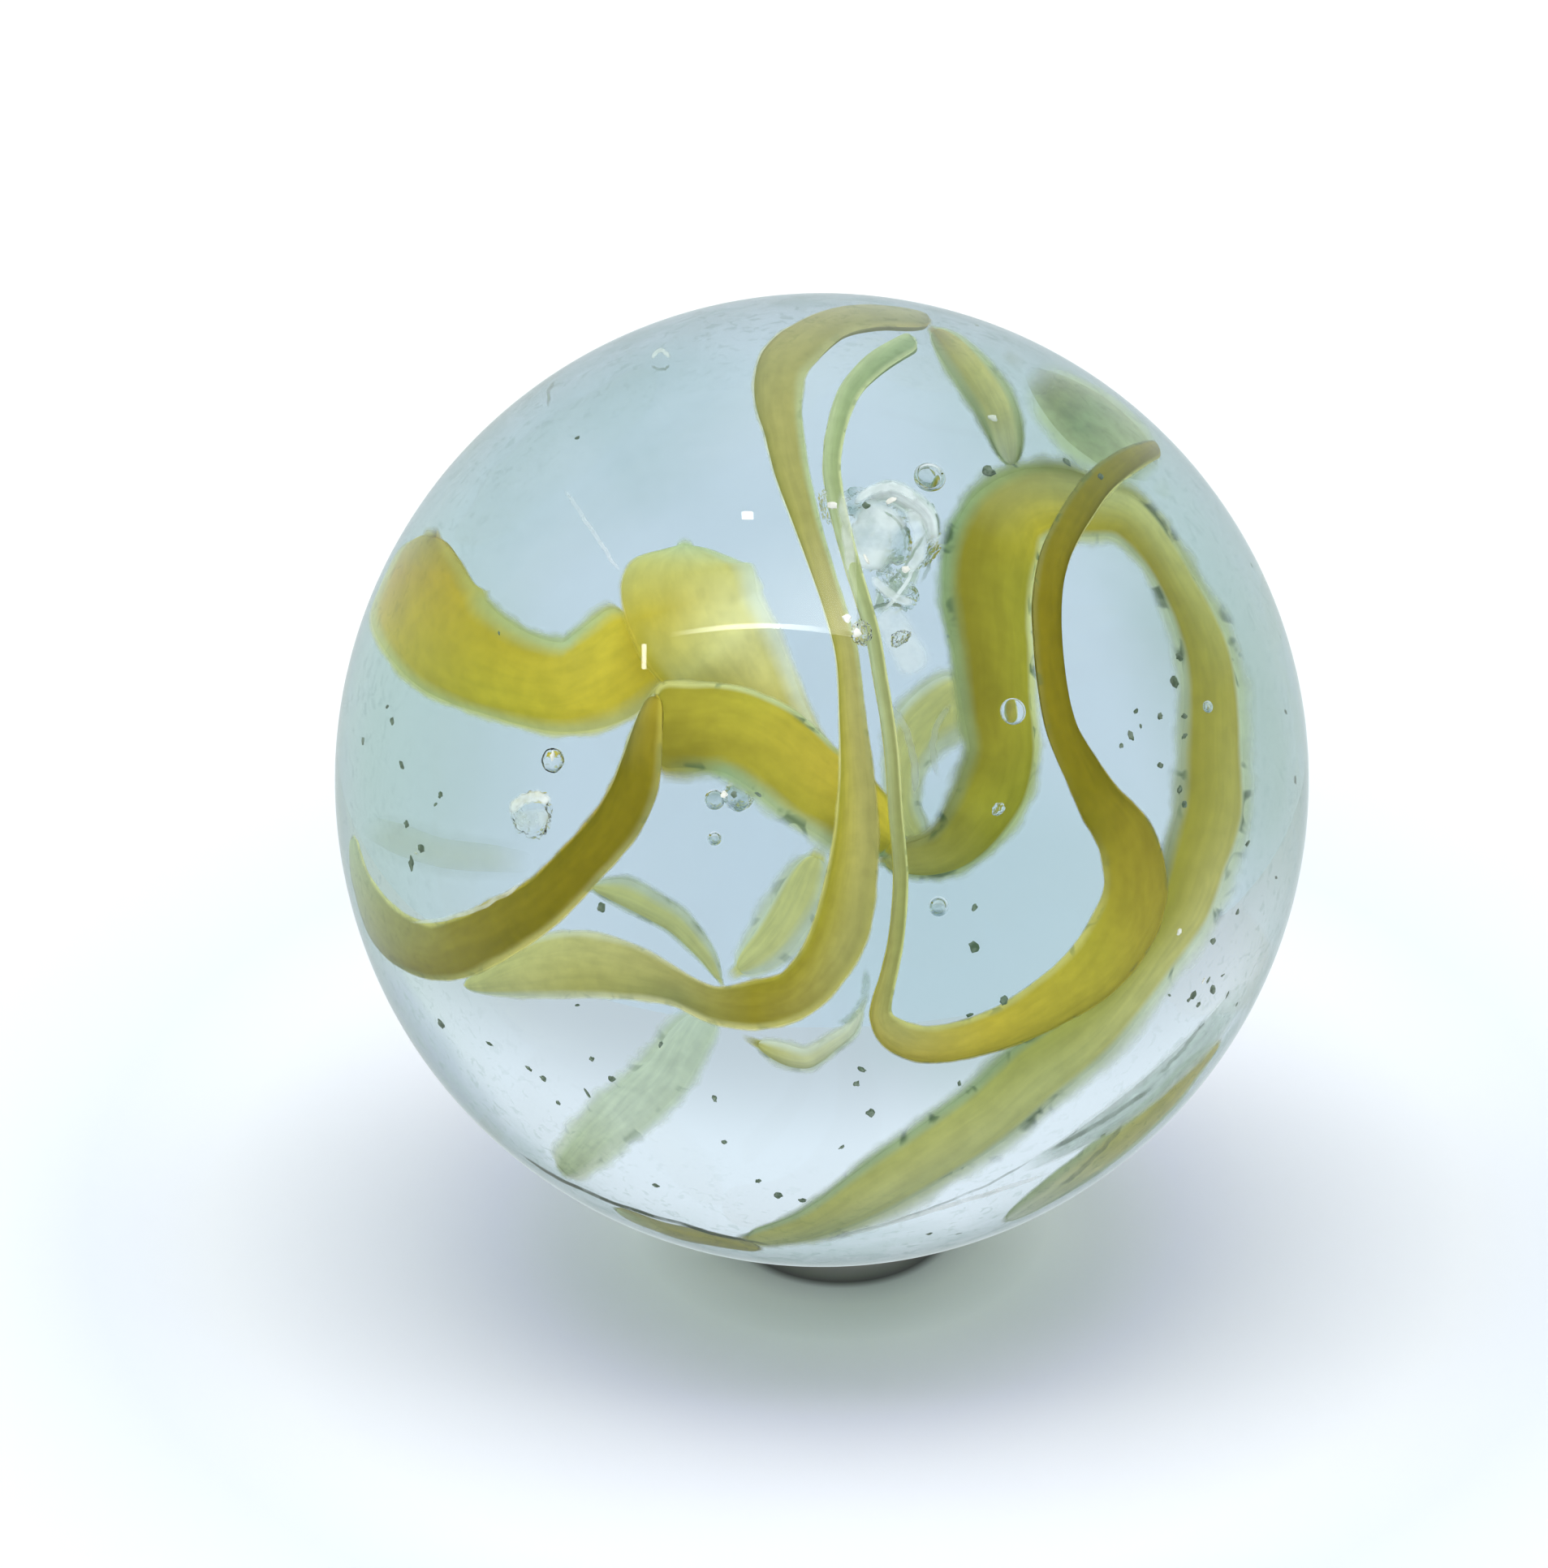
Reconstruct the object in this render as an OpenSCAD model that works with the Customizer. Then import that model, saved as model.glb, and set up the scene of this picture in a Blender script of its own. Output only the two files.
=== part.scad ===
// Glass marble: a ball of clear, faintly aqua glass with ribbons of yellow glass folded inside it,
// a few thin cloudy films and round air bubbles. All are melted together, so every ribbon and film
// fills its own hollow in the clear glass exactly. Millimetres, +Z up, origin at the centre.

/* [Ball] */
// Diameter of the marble
marble_d = 16; // [14:0.5:22]
// How far the marble has rolled back from standing with its pattern upright, in degrees
roll_back = 25; // [0:1:90]

/* [Widths of the ribbons, as the glass shows them] */
// Wide band on the left
left_band_w = 2; // [1.4:0.05:2.15]
// Broad band that drops from its round crest to the middle
arch_band_w = 2.25; // [1.2:0.05:2.35]
// Short sheet below the arch
centre_sheet_w = 1.5; // [1:0.05:1.7]
// Dark hook in front, low on the left
front_hook_w = 0.95; // [0.6:0.05:1.1]
// Tall strand with a loop at the top and a foot to the left
tall_loop_w = 1.05; // [0.7:0.05:1.2]
// Thread that widens into the wave on the right
wave_band_w = 1.1; // [0.7:0.05:1.25]
// Crook right of the middle, with its long outer arc
crook_band_w = 1.5; // [1:0.05:1.6]
// Strand on the right shoulder
shoulder_strand_w = 0.6; // [0.4:0.05:0.8]
// Short link behind the crook
short_link_w = 1.05; // [0.7:0.05:1.2]
// Pale band along the lower right
rim_band_w = 0.55; // [0.35:0.05:0.6]
// Green haze on the right shoulder
green_haze_w = 0.95; // [0.6:0.05:1.05]
// Pale wisps deep in the glass
wisp_w = 0.75; // [0.45:0.05:0.85]
// Cloudy films: a curl and a fold beside the bubbles, and a scuffed veil low on the right
film_w = 0.4; // [0.25:0.05:0.45]

/* [Thicknesses] */
// Wide bands
band_t = 0.5; // [0.3:0.05:0.6]
// Front strands, the hook and the wave
strand_t = 0.45; // [0.3:0.05:0.6]
// Pale wisps
wisp_t = 0.25; // [0.15:0.05:0.4]
// Cloudy films
film_t = 0.12; // [0.08:0.02:0.2]

/* [Bubbles] */
// Largest bubble
large_bubble_d = 0.75; // [0.4:0.05:1]
// Middling bubbles
bubble_d = 0.38; // [0.2:0.02:0.6]
// Seeds, the smallest bubbles
seed_d = 0.16; // [0.1:0.02:0.3]

/* [Hidden] */
marble_r = marble_d / 2;
// Refractive index of the clear glass
glass_index = 1.5;
// A sight line further out than this share of the radius would miss the ball
sight_limit = 0.985;
// A ribbon is never thicker than this share of its own width
thick_share = 0.8;
// Sides of a ribbon's section, and steps from one point of a route to the next
section_sides = 6;
route_steps = 2;
$fn = 96;

glass_colour = [0.72, 0.86, 0.86, 0.35];
yellow = [0.76, 0.70, 0.20];
bright_yellow = [0.78, 0.76, 0.34];
olive = [0.50, 0.48, 0.15];
pale = [0.66, 0.70, 0.44];
cloudy = [0.80, 0.85, 0.80];

// Routes. Each point is [across, up, depth, slant, width]. Across and up are where the ribbon
// shows on the face of the ball, in percent of its radius. Depth is how far along that line of
// sight it lies, in percent of the way through the glass. Width is in percent of the widest, and
// slant is how much deeper the right-hand edge of the widest section is than its left-hand edge, in
// percent like the depth. Narrower sections slant less in proportion.
left_band_route = [
    [-80, 50, 46, 4, 24], [-81, 44, 46, 4, 62], [-81, 36, 45, 4, 92], [-76, 28, 44, 4, 90],
    [-65, 22, 43, 4, 74], [-54, 19, 42, 2, 74], [-46, 21, 42, 0, 80], [-39, 26, 42, 0, 82],
    [-36, 28, 42, 0, 80]
];
arch_band_route = [
    [-28, 48, 37, 0, 24], [-28, 46, 37, 0, 62], [-28, 43, 37, 0, 88], [-27, 38, 37, 0, 96],
    [-25, 32, 37, 0, 95], [-21, 26, 37, 1, 88], [-17, 20, 38, 1, 78], [-12, 12, 38, 2, 67],
    [-6, 4, 38, 2, 54], [0, -2, 38, 2, 43], [7, -8, 38, 2, 31], [13, -13, 38, 2, 17]
];
centre_sheet_route = [
    [-34, 11, 30, 0, 95], [-26, 11, 30, 0, 93], [-18, 10, 30, -2, 93], [-10, 6, 30, -2, 95],
    [-3, 0, 30, -2, 90], [4, -5, 30, -2, 84], [10, -10, 31, -2, 70], [14, -13, 32, -2, 40]
];
front_hook_route = [
    [-34, 17, 8, 6, 20], [-36, 8, 8, 5, 55], [-38, -1, 8, 4, 76], [-42, -9, 8, 2, 80],
    [-49, -17, 8, 2, 80], [-57, -25, 8, 2, 85], [-65, -30, 9, 2, 96], [-73, -34, 10, 2, 100],
    [-80, -35, 11, 2, 94], [-87, -32, 12, 3, 80], [-92, -26, 14, 3, 55], [-95, -19, 16, 2, 30],
    [-96, -12, 18, 1, 12]
];
tall_loop_route = [
    [22, 94, 38, 3, 25], [13, 95, 38, 4, 30], [4, 94, 38, 4, 44], [-3, 90, 38, 4, 64],
    [-8, 85, 38, 4, 76], [-9, 78, 37, 4, 72], [-8, 72, 36, 4, 60], [-6, 62, 35, 4, 50],
    [-2, 49, 32, 4, 38], [2, 37, 30, 4, 33], [5, 26, 27, 4, 34], [6, 15, 25, 4, 38],
    [7, 2, 23, 3, 50], [7, -10, 21, 3, 64], [6, -20, 20, 3, 76], [4, -30, 20, 3, 84],
    [0, -38, 20, 3, 80], [-6, -44, 21, 3, 74], [-14, -46, 23, 3, 72], [-22, -46, 25, 4, 54],
    [-29, -43, 26, 4, 50], [-37, -40, 28, 3, 75], [-46, -38, 30, 2, 96], [-55, -38, 32, 2, 98],
    [-64, -40, 33, 2, 66], [-73, -42, 34, 1, 24]
];
wave_band_route = [
    [19, 90, 32, 4, 25], [12, 86, 31, 4, 30], [6, 80, 30, 4, 30], [3, 72, 28, 4, 27],
    [2, 63, 26, 4, 25], [4, 52, 24, 4, 24], [7, 41, 22, 4, 22], [10, 31, 20, 4, 21],
    [12, 20, 19, 4, 20], [14, 7, 18, 4, 20], [15, -7, 17, 4, 20], [16, -20, 16, 4, 21],
    [15, -33, 15, 4, 22], [13, -42, 14, 4, 25], [12, -48, 13, 4, 32], [15, -52, 12, 4, 46],
    [21, -54, 11, 4, 52], [29, -53, 10, 4, 55], [38, -50, 9, 4, 62], [47, -45, 8, 3, 74],
    [55, -39, 8, 3, 88], [61, -31, 8, 3, 96], [64, -22, 8, 3, 92], [62, -12, 8, 3, 84],
    [57, -5, 8, 5, 68], [53, 2, 8, 8, 54], [49, 10, 8, 8, 44], [47, 19, 8, 8, 39],
    [46, 29, 8, 8, 38], [46, 38, 8, 8, 40], [48, 47, 9, 6, 41], [53, 56, 11, 5, 43],
    [58, 62, 13, 5, 41], [64, 66, 16, 5, 36], [69, 68, 20, 4, 25]
];
crook_band_route = [
    [13, -16, 44, 4, 25], [20, -16, 44, 4, 38], [26, -14, 44, 3, 52], [31, -9, 43, 3, 65],
    [35, -2, 43, 3, 74], [37, 6, 42, 3, 72], [36, 15, 42, 3, 76], [35, 26, 42, 4, 82],
    [34, 36, 43, 4, 92], [35, 46, 44, 3, 100], [39, 54, 45, 3, 90], [46, 57, 46, 3, 76],
    [54, 56, 47, 4, 66], [62, 54, 48, 5, 52], [68, 48, 49, 6, 42], [73, 40, 50, 6, 42],
    [78, 29, 50, 5, 52], [80, 18, 50, 4, 60], [80, 6, 50, 3, 66], [80, -6, 50, 3, 72],
    [77, -17, 50, 3, 70], [74, -27, 50, 4, 60], [68, -37, 50, 5, 50], [61, -46, 50, 5, 53],
    [53, -53, 50, 3, 65], [44, -60, 50, 3, 70], [35, -68, 50, 3, 68], [25, -75, 49, 3, 64],
    [14, -82, 48, 4, 58], [4, -88, 47, 5, 44], [-5, -92, 46, 6, 28], [-15, -94, 45, 6, 14]
];
shoulder_strand_route = [
    [23, 92, 44, 3, 45], [27, 88, 46, 2, 80], [32, 82, 48, 2, 100], [36, 76, 50, 2, 100],
    [38, 70, 52, 2, 85], [39, 65, 53, 2, 50]
];
short_link_route = [
    [31, 19, 58, 2, 75], [26, 15, 58, 2, 95], [20, 10, 58, 2, 85], [17, 2, 57, 3, 58],
    [17, -6, 56, 3, 45], [20, -12, 56, 2, 45]
];
rim_band_route = [
    [81, -54, 32, 2, 30], [76, -59, 32, 2, 54], [71, -65, 32, 2, 70], [66, -70, 32, 2, 85],
    [60, -75, 32, 2, 100], [55, -79, 32, 2, 92], [49, -83, 32, 2, 77], [43, -87, 32, 2, 54],
    [38, -90, 32, 2, 30]
];
rim_sliver_route = [
    [-42, -88, 28, 2, 15], [-33, -92, 28, 2, 28], [-23, -94, 28, 2, 28], [-13, -96, 28, 2, 18]
];
foot_crescent_route = [
    [-13, -54, 40, 2, 26], [-8, -56, 40, 2, 42], [-3, -57, 40, 2, 42], [2, -54, 40, 2, 34],
    [6, -51, 40, 2, 26], [8, -47, 40, 2, 18]
];
middle_wisp_route = [
    [-47, -22, 62, 2, 30], [-41, -23, 62, 2, 58], [-35, -26, 62, 2, 58], [-30, -29, 62, 2, 53],
    [-26, -33, 62, 2, 44], [-23, -37, 62, 2, 32], [-21, -41, 62, 2, 20]
];
cross_wisp_route = [
    [-1, -16, 54, 2, 66], [-4, -23, 54, 2, 96], [-8, -30, 54, 2, 96], [-12, -35, 54, 2, 84],
    [-17, -39, 54, 2, 48]
];
low_wisp_route = [
    [-23, -48, 68, 2, 55], [-28, -54, 66, 2, 85], [-32, -60, 62, 2, 98], [-38, -66, 56, 2, 100],
    [-44, -71, 48, 2, 96], [-49, -76, 40, 2, 84], [-53, -80, 32, 2, 60]
];
side_wisp_route = [
    [-94, -9, 35, 2, 40], [-87, -12, 45, 2, 64], [-78, -15, 55, 2, 64], [-69, -16, 62, 2, 60],
    [-60, -17, 68, 2, 44]
];
green_haze_route = [
    [42, 84, 36, 3, 30], [48, 79, 36, 3, 72], [54, 74, 36, 3, 100], [59, 70, 36, 3, 98],
    [64, 66, 36, 3, 78], [68, 62, 36, 3, 40]
];
film_curl_route = [
    [8, 57, 29, 2, 50], [13, 59, 29, 2, 75], [18, 57, 29, 2, 80], [22, 53, 29, 2, 70],
    [23, 47, 29, 2, 40]
];
film_fold_route = [
    [20, 44, 41, 2, 35], [17, 41, 41, 2, 90], [14, 38, 41, 2, 100], [11, 34, 41, 2, 45]
];
scuff_veil_route = [
    [87, -41, 24, 2, 40], [80, -51, 20, 2, 90], [71, -60, 17, 2, 100], [61, -68, 15, 2, 90],
    [50, -75, 14, 2, 60], [40, -80, 14, 2, 30]
];

// Bubbles, as [across, up, depth, diameter], placed as the routes are.
bubbles = [
    [-60, -8, 12, large_bubble_d], [12, 49, 34, large_bubble_d],
    [-55, 4, 14, bubble_d], [21, 62, 30, bubble_d], [21, 46, 33, bubble_d], [15, 56, 36, bubble_d],
    [17, 38, 36, bubble_d], [-17, -3, 44, bubble_d], [39, 14, 20, bubble_d],
    [8, 30, 16, seed_d], [36, -6, 22, seed_d], [-22, -12, 50, seed_d], [-22, -4, 44, seed_d],
    [24, -26, 60, seed_d], [79, 15, 30, seed_d]
];

function unit(v) = v / norm(v);

// Point inside the ball that shows at place [across, up], in shares of the radius, on its face.
// The line of sight bends towards the axis as it enters the glass, as through any lens.
function seen_at(place, depth) =
    let (
        off_axis = max(norm(place), 0.001),
        aside = place / off_axis,
        reach = min(off_axis, sight_limit),
        outside = asin(reach),
        inside = asin(reach / glass_index),
        bend = outside - inside,
        travel = 2 * cos(inside) * depth
    )
    marble_r * [
        aside.x * (reach - travel * sin(bend)),
        travel * cos(bend) - cos(outside),
        aside.y * (reach - travel * sin(bend))
    ];

// Smooth curve through the points of a route: a Catmull-Rom spline.
function between(a, b, c, d, t) =
    b + (c - a) * t / 2 + (2 * a - 5 * b + 4 * c - d) * t * t / 2 + (3 * b - a - 3 * c + d) * t * t * t / 2;
function smooth(route) = [
    for (i = [0 : len(route) - 2], k = [0 : route_steps - 1])
        between(
            route[max(i - 1, 0)], route[i], route[i + 1], route[min(i + 2, len(route) - 1)],
            k / route_steps
        ),
    route[len(route) - 1]
];

// One section of a ribbon: a flat six-sided lens from its left-hand edge to its right-hand edge.
function section(stations, i, widest, thick) =
    let (
        here = stations[i],
        ahead = stations[min(i + 1, len(stations) - 1)],
        behind = stations[max(i - 1, 0)],
        centre = [here[0], here[1]] / 100,
        along = unit([ahead[0] - behind[0], ahead[1] - behind[1]]),
        aside = [-along.y, along.x] * widest / marble_r * here[4] / 200,
        slant = here[3] / 2 * here[4] / 100,
        left = seen_at(centre + aside, (here[2] - slant) / 100),
        right = seen_at(centre - aside, (here[2] + slant) / 100),
        sight = unit(seen_at(centre, 1) - seen_at(centre, 0)),
        across = unit(right - left),
        face = unit(sight - across * (sight * across)),
        half_w = norm(right - left) / 2,
        half_t = min(thick / 2, half_w * thick_share)
    )
    [for (k = [0 : section_sides - 1])
        let (turn = 360 * k / section_sides)
        (left + right) / 2 + across * half_w * cos(turn) + face * half_t * sin(turn)];

// A ribbon: its sections joined along the route and closed at both ends.
module ribbon(route, widest, thick) {
    stations = smooth(route);
    last = len(stations) - 1;
    n = section_sides;
    sides = [for (i = [0 : last - 1], k = [0 : n - 1]) [i * n + k, i * n + (k + 1) % n]];
    polyhedron(
        points = [for (i = [0 : last]) each section(stations, i, widest, thick)],
        faces = concat(
            [[for (k = [0 : n - 1]) k], [for (k = [n - 1 : -1 : 0]) last * n + k]],
            [for (s = sides) [s[1], s[0], s[0] + n]],
            [for (s = sides) [s[1], s[0] + n, s[1] + n]]
        )
    );
}

// Turns the pattern back from upright to how the marble lies.
module as_it_lies() rotate([-roll_back, 0, 0]) children();

module left_band() color(yellow) as_it_lies() ribbon(left_band_route, left_band_w, band_t);
module arch_band() color(bright_yellow) as_it_lies() ribbon(arch_band_route, arch_band_w, band_t);
module centre_sheet() color(yellow) as_it_lies() ribbon(centre_sheet_route, centre_sheet_w, band_t);
module front_hook() color(olive) as_it_lies() ribbon(front_hook_route, front_hook_w, strand_t);
module tall_loop() color(yellow) as_it_lies() ribbon(tall_loop_route, tall_loop_w, strand_t);
module wave_band() color(olive) as_it_lies() ribbon(wave_band_route, wave_band_w, strand_t);
module crook_band() color(yellow) as_it_lies() ribbon(crook_band_route, crook_band_w, band_t);
module shoulder_strand() color(pale) as_it_lies() ribbon(shoulder_strand_route, shoulder_strand_w, wisp_t);
module short_link() color(pale) as_it_lies() ribbon(short_link_route, short_link_w, wisp_t);
module rim_band() color(pale) as_it_lies() ribbon(rim_band_route, rim_band_w, wisp_t);
module rim_sliver() color(pale) as_it_lies() ribbon(rim_sliver_route, wisp_w, wisp_t);
module foot_crescent() color(pale) as_it_lies() ribbon(foot_crescent_route, wisp_w, wisp_t);
module middle_wisp() color(pale) as_it_lies() ribbon(middle_wisp_route, wisp_w, wisp_t);
module cross_wisp() color(pale) as_it_lies() ribbon(cross_wisp_route, wisp_w, wisp_t);
module low_wisp() color(pale) as_it_lies() ribbon(low_wisp_route, wisp_w, wisp_t);
module side_wisp() color(pale) as_it_lies() ribbon(side_wisp_route, wisp_w, wisp_t);
module green_haze() color(pale) as_it_lies() ribbon(green_haze_route, green_haze_w, wisp_t);
module film_curl() color(cloudy) as_it_lies() ribbon(film_curl_route, film_w, film_t);
module film_fold() color(cloudy) as_it_lies() ribbon(film_fold_route, film_w, film_t);
module scuff_veil() color(cloudy) as_it_lies() ribbon(scuff_veil_route, film_w, film_t);

module ribbons() {
    left_band();
    arch_band();
    centre_sheet();
    front_hook();
    tall_loop();
    wave_band();
    crook_band();
    shoulder_strand();
    short_link();
    rim_band();
    rim_sliver();
    foot_crescent();
    middle_wisp();
    cross_wisp();
    low_wisp();
    side_wisp();
    green_haze();
    film_curl();
    film_fold();
    scuff_veil();
}

module air_bubbles() as_it_lies() for (b = bubbles)
    translate(seen_at([b[0], b[1]] / 100, b[2] / 100)) sphere(d = b[3], $fn = 20);

// The clear glass: a true ball, hollow only where the ribbons and the bubbles are.
module clear_glass() color(glass_colour) difference() {
    sphere(d = marble_d);
    ribbons();
    air_bubbles();
}

clear_glass();
left_band();
arch_band();
centre_sheet();
front_hook();
tall_loop();
wave_band();
crook_band();
shoulder_strand();
short_link();
rim_band();
rim_sliver();
foot_crescent();
middle_wisp();
cross_wisp();
low_wisp();
side_wisp();
green_haze();
film_curl();
film_fold();
scuff_veil();
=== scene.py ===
import math
from itertools import combinations
import bpy
import bmesh
from mathutils import Matrix, Vector, noise


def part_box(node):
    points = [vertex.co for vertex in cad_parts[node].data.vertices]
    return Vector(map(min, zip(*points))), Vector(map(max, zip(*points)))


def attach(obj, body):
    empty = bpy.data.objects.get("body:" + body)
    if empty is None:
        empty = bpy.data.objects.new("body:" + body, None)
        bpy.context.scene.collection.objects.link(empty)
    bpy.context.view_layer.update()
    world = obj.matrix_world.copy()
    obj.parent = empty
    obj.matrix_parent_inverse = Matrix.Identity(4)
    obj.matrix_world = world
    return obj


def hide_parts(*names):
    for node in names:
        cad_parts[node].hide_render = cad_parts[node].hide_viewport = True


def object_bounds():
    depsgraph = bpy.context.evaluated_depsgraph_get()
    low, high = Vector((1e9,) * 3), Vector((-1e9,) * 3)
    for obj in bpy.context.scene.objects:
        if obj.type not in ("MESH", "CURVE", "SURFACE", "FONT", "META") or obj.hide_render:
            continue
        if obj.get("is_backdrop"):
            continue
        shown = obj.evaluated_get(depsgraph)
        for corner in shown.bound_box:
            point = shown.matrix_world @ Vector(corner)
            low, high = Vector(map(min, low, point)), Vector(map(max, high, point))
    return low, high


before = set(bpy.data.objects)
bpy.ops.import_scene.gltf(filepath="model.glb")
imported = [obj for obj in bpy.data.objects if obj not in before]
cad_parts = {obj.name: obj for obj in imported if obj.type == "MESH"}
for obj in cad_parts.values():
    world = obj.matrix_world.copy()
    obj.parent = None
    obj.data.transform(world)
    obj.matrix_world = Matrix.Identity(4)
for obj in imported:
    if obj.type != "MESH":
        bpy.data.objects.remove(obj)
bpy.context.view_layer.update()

# The clear glass: a ball of soda-lime glass with a faint aqua tint, rolled round while it was hot.
# The ribbons and the air bubbles were folded into it with the gather, so they lie sealed inside.
# The outside is fire-polished. Its colour is painted darker and greener in broad patches that face given
# ways, a painted shade for the darker surroundings that the glass shows, and in a mottled band round its
# outline as seen from the front, partly scuff marks and grit, partly painted rim shade.
ball_low, ball_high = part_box("clear_glass")
marble_r = (ball_high[0] - ball_low[0]) / 2
centre = (Vector(ball_low) + Vector(ball_high)) / 2
roll_back = math.radians(25)
as_it_lies = Matrix.Rotation(-roll_back, 3, "X")
sight = as_it_lies @ Vector((0, 1, 0))
glass_index = 1.5


def seen_at(across, up, depth):
    """Point inside the ball that shows at (across, up) on its face, in percent of its radius."""
    reach = min(max(math.hypot(across, up) / 100, 1e-4), 0.985)
    aside = Vector((across, up)).normalized()
    outside, inside = math.asin(reach), math.asin(reach / glass_index)
    travel = 2 * math.cos(inside) * depth / 100
    out = reach - travel * math.sin(outside - inside)
    ahead = travel * math.cos(outside - inside) - math.cos(outside)
    return centre + marble_r * (as_it_lies @ Vector((aside.x * out, ahead, aside.y * out)))


def new_object(name, bm, material):
    """Turns a bmesh into a smooth object at the origin."""
    mesh = bpy.data.meshes.new(name)
    bm.to_mesh(mesh)
    bm.free()
    mesh.shade_smooth()
    mesh.set_sharp_from_angle(angle=math.radians(40))
    mesh.materials.append(material)
    made = bpy.data.objects.new(name, mesh)
    bpy.context.scene.collection.objects.link(made)
    return made


def piece(name, bm, material, slot, *replaced):
    """A finished piece of the marble, in place of the CAD nodes that it replaces."""
    made = new_object(name, bm, material)
    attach(made, "root")
    if replaced:
        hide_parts(*replaced)


def new_material(name, **sockets):
    """A Principled material with plain values on its own sockets."""
    material = bpy.data.materials.new(name)
    material.use_nodes = True
    shader = material.node_tree.nodes["Principled BSDF"]
    for socket, value in sockets.items():
        shader.inputs[socket.replace("_", " ")].default_value = value
    return material, material.node_tree, shader


def tint(red, green, blue):
    """A colour written in 8-bit display values, as linear light with full alpha."""
    return (*(((c / 255 + 0.055) / 1.055) ** 2.4 if c > 10 else c / 3295 for c in (red, green, blue)), 1)


def feed(tree, socket, value):
    """Links a socket, or sets a plain value, on an input."""
    if isinstance(value, bpy.types.NodeSocket):
        tree.links.new(value, socket)
    else:
        socket.default_value = value


def maths(tree, operation, *values):
    """The result of one sum on values."""
    node = tree.nodes.new("ShaderNodeMath")
    node.operation = operation
    for socket, value in zip(node.inputs, values):
        feed(tree, socket, value)
    return node.outputs[0]


def mix(tree, factor, a, b):
    """A mix of two colours."""
    node = tree.nodes.new("ShaderNodeMix")
    node.data_type = "RGBA"
    for socket, value in ((0, factor), (6, a), (7, b)):
        feed(tree, node.inputs[socket], value)
    return node.outputs[2]


def fade(tree, *levels):
    """A smooth step of a value, from low to high, onto to_low and to_high."""
    node = tree.nodes.new("ShaderNodeMapRange")
    node.interpolation_type = "SMOOTHSTEP"
    for socket, level in zip(node.inputs, levels):
        feed(tree, socket, level)
    return node.outputs[0]


def grain(tree, vector, scale, detail=3.0, distortion=0.0):
    """A noise texture's value."""
    node = tree.nodes.new("ShaderNodeTexNoise")
    settings = (("Vector", vector), ("Scale", scale), ("Detail", detail), ("Distortion", distortion))
    for socket, value in settings:
        feed(tree, node.inputs[socket], value)
    return node.outputs["Fac"]


def along_way(tree, vector, way):
    """How far a vector reaches along a direction."""
    node = tree.nodes.new("ShaderNodeVectorMath")
    node.operation = "DOT_PRODUCT"
    feed(tree, node.inputs[0], vector)
    feed(tree, node.inputs[1], way)
    return node.outputs["Value"]


clear_glass, tree, shader = new_material(
    "clear_glass", Roughness=0, IOR=glass_index, Transmission_Weight=1, Specular_Tint=(0.5, 0.5, 0.45, 1))
where = tree.nodes.new("ShaderNodeTexCoord").outputs["Object"]
cloud = grain(tree, where, 300, 4, 0.5)
# Painted shade: broad patches of the base colour turn darker and greener by the way they face, for the darker
# surroundings that the glass shows.
cast_and_painted_shade = tint(255, 255, 255)
for side, low, high, shade in (
        (Vector((0.95, -0.15, 0.3)), 0.70, 0.97, (176, 195, 166)),
        (Vector((-1, -0.1, 0.1)), 0.55, 1.00, (193, 217, 188)),
        (Vector((0.60, -0.35, 0.72)), 0.80, 1.05, (198, 218, 200)),
        (Vector((-0.50, -0.45, 0.75)), 0.88, 1.04, (194, 214, 206)),
        (Vector((0.38, -0.87, -0.32)), 0.88, 1.00, (234, 246, 238)),
        (Vector((-0.77, -0.15, -0.62)), 0.93, 1.00, (184, 194, 206)),
        (Vector((0.05, -0.20, -0.98)), 0.95, 1.02, (204, 216, 212))):
    way = as_it_lies @ side / side.length / marble_r
    reach = maths(tree, "MULTIPLY_ADD", cloud, 0.16, along_way(tree, where, way))
    cast_and_painted_shade = mix(tree, fade(tree, reach, low + 0.08, high + 0.08), cast_and_painted_shade, tint(*shade))
# A mottled band round the outline as seen from the front: partly scuff marks, partly painted rim shade. The
# grit keeps to the same band.
outline_band = maths(tree, "ABSOLUTE", along_way(tree, where, as_it_lies @ Vector((0, 1, 0)) / marble_r))
rim_scuffs_and_shade = fade(tree, grain(tree, where, 1500, 6, 0.6), 0.42, 0.62, 0.15, 0.9)
rim_scuffs_and_shade = maths(tree, "MULTIPLY", rim_scuffs_and_shade, fade(tree, outline_band, 0.08, 0.42, 1, 0))
cast_and_painted_shade = mix(tree, rim_scuffs_and_shade, cast_and_painted_shade, tint(184, 204, 192))
grit = fade(tree, grain(tree, where, 5200, 3, 0.8), 0.54, 0.68, 0, 0.55)
grit = maths(tree, "MULTIPLY", grit, fade(tree, outline_band, 0.15, 0.7, 1, 0))
cast_and_painted_shade = mix(tree, grit, cast_and_painted_shade, tint(140, 168, 148))
tree.links.new(cast_and_painted_shade, shader.inputs["Base Color"])
ripple = tree.nodes.new("ShaderNodeBump")
ripple.inputs["Strength"].default_value = 0.25
ripple.inputs["Distance"].default_value = 0.00002
tree.links.new(grain(tree, where, 260, 2), ripple.inputs["Height"])
tree.links.new(ripple.outputs[0], shader.inputs["Normal"])
absorption = tree.nodes.new("ShaderNodeVolumeAbsorption")
absorption.inputs["Color"].default_value = (0.14, 0.38, 0.51, 1)
absorption.inputs["Density"].default_value = 50
tree.links.new(absorption.outputs[0], tree.nodes["Material Output"].inputs["Volume"])

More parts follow.
